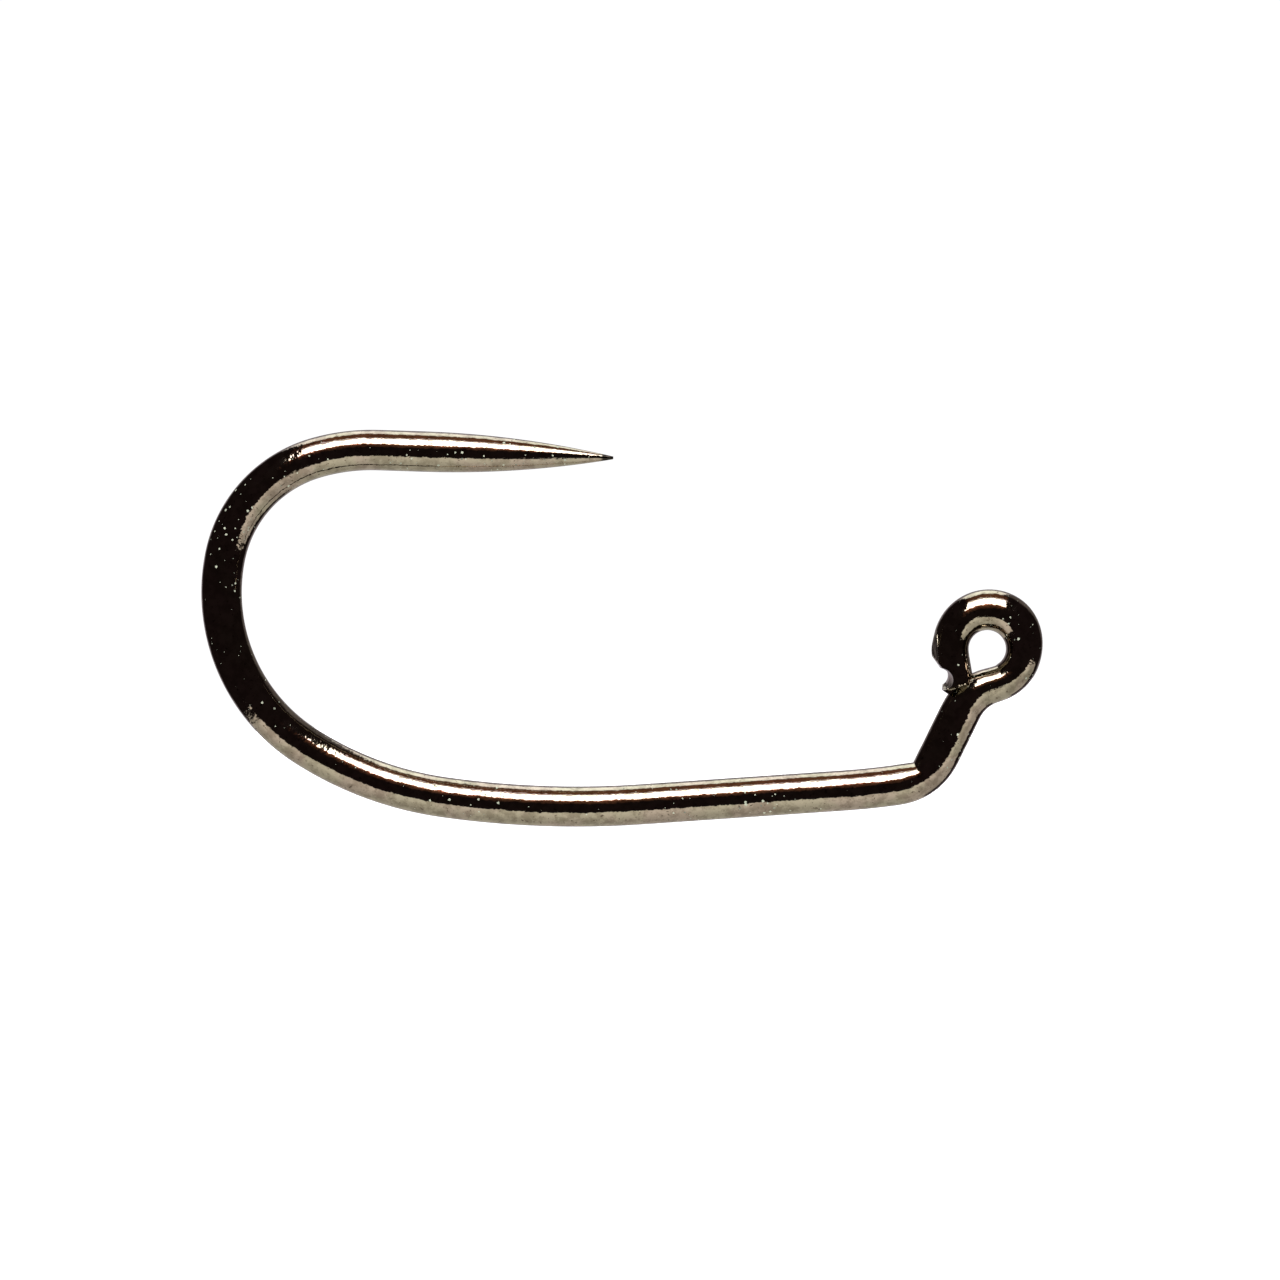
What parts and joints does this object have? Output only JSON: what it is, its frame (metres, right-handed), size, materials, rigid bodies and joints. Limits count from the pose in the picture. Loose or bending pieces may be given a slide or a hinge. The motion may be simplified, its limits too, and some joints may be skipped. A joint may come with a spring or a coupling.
{
  "type": "jig hook",
  "caption": "Bare barbless jig hook of round wire: ring eye on a raised neck, straight shank, wide round bend and a long needle point. No weight is moulded on it.",
  "frame": {"origin": "centre of the eye's hole, in the middle plane of the wire", "axes": "+X along the straight shank towards the eye, +Z from the shank to the point, +Y out of the hook's plane and along the eye's hole"},
  "size_m": [0.0155, 0.0008, 0.0076],
  "materials": {
    "black_nickel": "polished black nickel plate on carbon steel wire, with fine dust"
  },
  "bodies": {
    "root": {"eye": "black_nickel", "neck": "black_nickel", "shank": "black_nickel", "bend": "black_nickel", "point": "black_nickel"}
  },
  "joints": []
}
